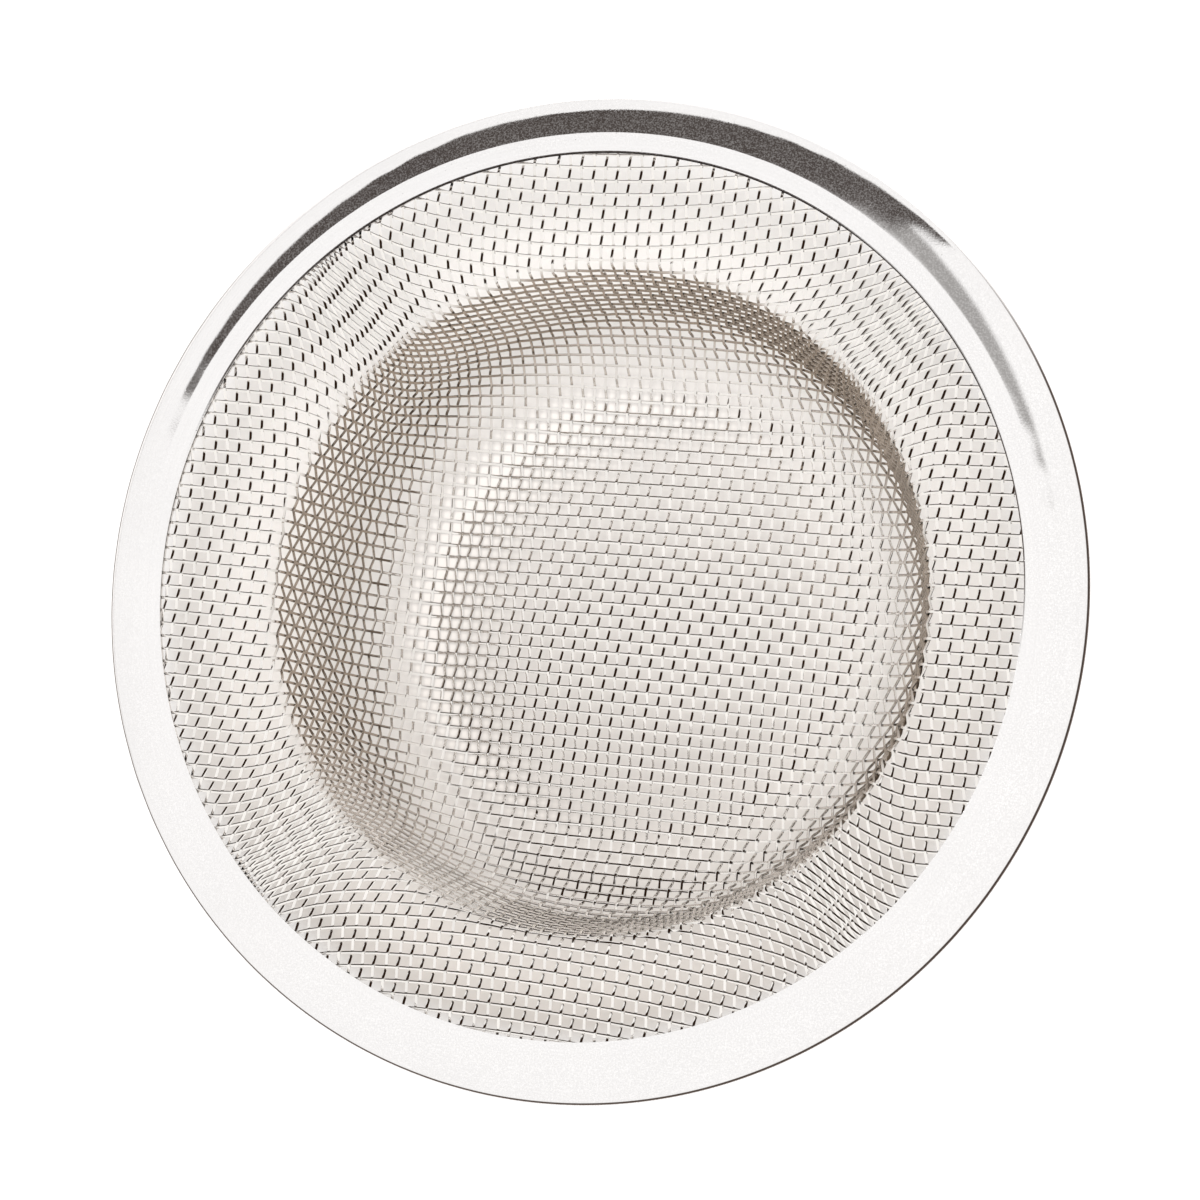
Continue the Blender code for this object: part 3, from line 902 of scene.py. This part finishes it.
def ring_mesh(sizes):
    """The folded strip turned round the axis, with the faint ripples of its pressing."""
    line = strip_line(sizes)
    faces = [[(r + side * sizes.sheet / 2 * math.sin(a), z - side * sizes.sheet / 2 * math.cos(a))
              for r, z, a in line] for side in (1, -1)]
    lip_rise = sizes.lip_run * math.tan(sizes.lip_slope)
    mouth = RING_RADIUS - sizes.band
    tip_top = line[-1][1] + sizes.sheet / 2 + lip_rise
    tip = [(mouth, tip_top - sizes.tip), (mouth, tip_top)]
    outline = np.array(faces[0][::-1] + faces[1] + tip)
    draw = np.random.default_rng(sizes.seed)
    turn = np.arange(sizes.segments) * 2 * np.pi / sizes.segments
    ripple = sum(np.cos(count * turn + phase) for count, phase in
                 zip(draw.integers(*RIPPLE_WAVES, RIPPLES), draw.random(RIPPLES) * 2 * np.pi)) * sizes.ripple
    radii = np.repeat(outline[None, :, 0], sizes.segments, axis=0)
    heights = outline[None, :, 1] + ripple[:, None] * (radii - mouth) / sizes.band
    points = np.stack([radii * np.cos(turn)[:, None], radii * np.sin(turn)[:, None], heights], axis=-1)
    count = len(outline)
    k, s = np.meshgrid(np.arange(sizes.segments), np.arange(count), indexing="ij")
    after, beside = (k + 1) % sizes.segments, (s + 1) % count
    quads = np.stack([k * count + s, k * count + beside, after * count + beside, after * count + s], axis=-1)
    mesh = bpy.data.meshes.new("folded_ring")
    mesh.from_pydata(points.reshape(-1, 3).tolist(), [], quads.reshape(-1, 4).tolist())
    sides = np.linalg.norm(np.roll(outline, -1, axis=0) - outline, axis=1)
    low, high = (np.cumsum(sides) - sides)[s] / sides.sum(), np.cumsum(sides)[s] / sides.sum()
    left, right = k / sizes.segments, (k + 1) / sizes.segments
    corners = quad_map((left, low), (left, high), (right, high), (right, low))
    mesh.uv_layers.new(name="OFBake").data.foreach_set("uv", corners.ravel())
    mesh.shade_smooth()
    mesh.set_sharp_from_angle(angle=SHARP_EDGE)
    return mesh


class STRAINER_OT_fold_ring(bpy.types.Operator):
    """Fold the polished ring that holds the cloth's edge"""
    bl_idname = "strainer.fold_ring"
    bl_label = "Fold Ring"

    def execute(self, context):
        mesh = ring_mesh(context.scene.strainer_ring)
        mesh.materials.append(ring_steel(context))
        piece = add_object(context, "folded_ring", mesh)
        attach(piece, "root")
        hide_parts("rim_ring")
        return {"FINISHED"}


class STRAINER_OT_weave_warp(bpy.types.Operator):
    """Weave and press the wires that run along Y"""
    bl_idname = "strainer.weave_warp"
    bl_label = "Weave Warp"

    def execute(self, context):
        weave(context, "warp")
        return {"FINISHED"}


class STRAINER_OT_weave_weft(bpy.types.Operator):
    """Weave and press the wires that run along X"""
    bl_idname = "strainer.weave_weft"
    bl_label = "Weave Weft"

    def execute(self, context):
        weave(context, "weft")
        return {"FINISHED"}


def soft_window(tree, value, low, high, softness):
    """A smooth mask that is 1 while a value lies between two limits."""
    rise, fall = edged(tree, value, low, softness), edged(tree, value, high, softness, FALLING)
    return combined(tree, "MULTIPLY", rise, fall)


def white_surround(context):
    """White light from overhead, dark near the horizon, with a dark opening overhead that the steel mirrors.

    The opening lies in a level plane overhead, where places are level distances over height. It's a rectangle
    whose near left corner is cut off by a slanting line, and whose right side slants too.
    """
    sizes = context.scene.strainer_studio
    world = bpy.data.worlds.new("white_surround")
    context.scene.world = world
    world.use_nodes = True
    tree = world.node_tree
    direction = {"Vector": add_node(tree, "TexCoord").outputs["Generated"], "Angle": -sizes.turn}
    turned = add_node(tree, "VectorRotate", direction, rotation_type="Z_AXIS").outputs["Vector"]
    part = add_node(tree, "SeparateXYZ", (turned,)).outputs
    height = combined(tree, "MAXIMUM", part["Z"], LEAST_HEIGHT)
    across, along = (combined(tree, "DIVIDE", part[axis], height) for axis in ("X", "Y"))
    slant = combined(tree, "MULTIPLY_ADD", across, sizes.gap_slant, along)
    beyond = edged(tree, slant, 0.0, SLANT_SOFTNESS)
    side = combined(tree, "MULTIPLY_ADD", along, -sizes.gap_side, across)
    within = edged(tree, side, sizes.gap_side_start, SIDE_SOFTNESS, FALLING)
    within = combined(tree, "MULTIPLY", beyond, within)
    areas = (
        (sizes.haze, beyond, zip((across, along), sizes.haze_from, sizes.haze_to, HAZE_SOFTNESS)),
        (sizes.gap, within, zip((across, along), sizes.gap_from, sizes.gap_to, GAP_SOFTNESS)),
    )
    paint = (*sizes.surround, 1)
    for colour, limit, edges in areas:
        window_x, window_y = (soft_window(tree, *edge) for edge in edges)
        window = combined(tree, "MULTIPLY", combined(tree, "MULTIPLY", window_x, limit), window_y)
        paint = mixed(tree, window, paint, (*colour, 1))
    rise = vectors(tree, "DOT_PRODUCT", turned, tuple(sizes.low_axis), result="Value")
    edge = edged(tree, rise, sizes.low_edge, LOW_SOFTNESS, FALLING)
    fill(tree, tree.nodes["Background"].inputs["Color"], mixed(tree, edge, paint, (*sizes.low, 1)))


def floor_paint(context):
    """The floor's material: pale, with a painted shade under the basket, and white to the camera and in the
    steel.
    """
    sizes, well = context.scene.strainer_studio, context.scene.strainer_cloth
    material = bpy.data.materials.new("pale_floor")
    material.use_nodes = True
    tree = material.node_tree
    centre = Matrix.Rotation(sizes.turn, 3, "Z") @ Vector((*sizes.shade_centre, 0))
    # Painted shade: a soft disc under the basket, darker towards -Y and deeper under the well; the lamp's
    # real shadow falls on it as well
    inside = vectors(tree, "SUBTRACT", own_place(tree), centre)
    radius = vectors(tree, "LENGTH", inside, result="Value")
    deeper = Vector((math.cos(sizes.shade_side + sizes.turn), math.sin(sizes.shade_side + sizes.turn), 0))
    along = vectors(tree, "DOT_PRODUCT", inside, deeper, result="Value")
    share = carried(tree, along, (-sizes.shade_radius, sizes.shade_radius), kind="LINEAR")
    shade = mixed(tree, share, (*sizes.shade_far, 1), (*sizes.shade_near, 1))
    under = carried(tree, radius, (well.dome_edge, well.fold_radius), (sizes.well_shade, 1.0))
    edge = edged(tree, radius, sizes.shade_radius, SHADE_SOFTNESS)
    tone = mixed(tree, edge, scaled(tree, shade, under), WHITE)
    ray = add_node(tree, "LightPath").outputs
    seen = combined(tree, "MAXIMUM", ray["Is Camera Ray"], ray["Is Glossy Ray"])
    seen = combined(tree, "MAXIMUM", seen, ray["Is Transmission Ray"])
    fill_shader(tree, {
        "Base Color": vectors(tree, "MULTIPLY", tone, tuple(sizes.floor_colour)),
        "Roughness": 1.0,
        "Specular IOR Level": 0.0,
        "Emission Color": tone,
        "Emission Strength": combined(tree, "MULTIPLY", seen, sizes.floor_glow),
    })
    return material


def pale_floor(context):
    """A floor that keeps the object's shadow, with the lamp that lights it."""
    sizes = context.scene.strainer_studio
    half = sizes.floor / 2
    corners = [(-half, -half, 0), (half, -half, 0), (half, half, 0), (-half, half, 0)]
    mesh = bpy.data.meshes.new("floor")
    mesh.from_pydata(corners, [], [(0, 1, 2, 3)])
    mesh.materials.append(floor_paint(context))
    floor = add_object(context, "floor", mesh)
    lamp = add_object(context, "floor_lamp", bpy.data.lights.new("floor_lamp", "AREA"))
    lamp.data.energy = sizes.lamp_power
    lamp.data.size = sizes.lamp_size
    lamp.location = Matrix.Rotation(sizes.turn, 3, "Z") @ Vector(sizes.lamp_place)
    lamp.rotation_euler = lamp.location.to_track_quat("Z", "Y").to_euler()
    lamp.visible_glossy = False


def overhead_camera(context):
    """The camera, nearly overhead and leaning to the right and a little to the front."""
    sizes = context.scene.strainer_studio
    camera = add_object(context, "camera", bpy.data.cameras.new("camera"))
    camera.data.lens = sizes.lens
    camera.data.clip_start = NEAREST_SEEN
    turned = Matrix.Rotation(sizes.turn, 3, "Z")
    target = turned @ Vector((*sizes.aim, RING_HIGH.z))
    level = math.sin(sizes.lean)
    away = (level * math.cos(sizes.side), level * math.sin(sizes.side), math.cos(sizes.lean))
    away = turned @ Vector(away)
    camera.location = target + away * sizes.distance
    right = (turned @ Vector((0, 1, 0))).cross(away).normalized()
    camera.rotation_euler = Matrix((right, away.cross(right), away)).transposed().to_euler()
    context.scene.camera = camera


class STRAINER_OT_set_studio(bpy.types.Operator):
    """Set the pale floor, the white surround and the camera"""
    bl_idname = "strainer.set_studio"
    bl_label = "Set Studio"

    def execute(self, context):
        context.scene.view_settings.view_transform = "Standard"
        white_surround(context)
        pale_floor(context)
        overhead_camera(context)
        return {"FINISHED"}


OPERATORS = (STRAINER_OT_fold_ring, STRAINER_OT_weave_warp, STRAINER_OT_weave_weft, STRAINER_OT_set_studio)
SETTINGS = {"strainer_cloth": ClothSizes, "strainer_ring": RingSizes, "strainer_finish": SteelFinish,
            "strainer_studio": StudioSizes}


class STRAINER_PT_panel(bpy.types.Panel):
    """Sizes, finishes and buttons of the strainer"""
    bl_idname = "STRAINER_PT_panel"
    bl_label = "Mesh Sink Strainer"
    bl_space_type = "VIEW_3D"
    bl_region_type = "UI"
    bl_category = "Strainer"

    def draw(self, context):
        for operator in OPERATORS:
            self.layout.operator(operator.bl_idname)
        for name, group in SETTINGS.items():
            box = self.layout.box()
            for key in group.__annotations__:
                box.prop(getattr(context.scene, name), key)


CLASSES = (*SETTINGS.values(), *OPERATORS, STRAINER_PT_panel)


def register():
    for cls in CLASSES:
        bpy.utils.register_class(cls)
    for name, group in SETTINGS.items():
        setattr(bpy.types.Scene, name, PointerProperty(type=group))


def unregister():
    for name in SETTINGS:
        delattr(bpy.types.Scene, name)
    for cls in reversed(CLASSES):
        bpy.utils.unregister_class(cls)


def main():
    register()
    bpy.ops.strainer.set_studio()
    bpy.ops.strainer.fold_ring()
    bpy.ops.strainer.weave_warp()
    bpy.ops.strainer.weave_weft()


if __name__ == "__main__":
    main()
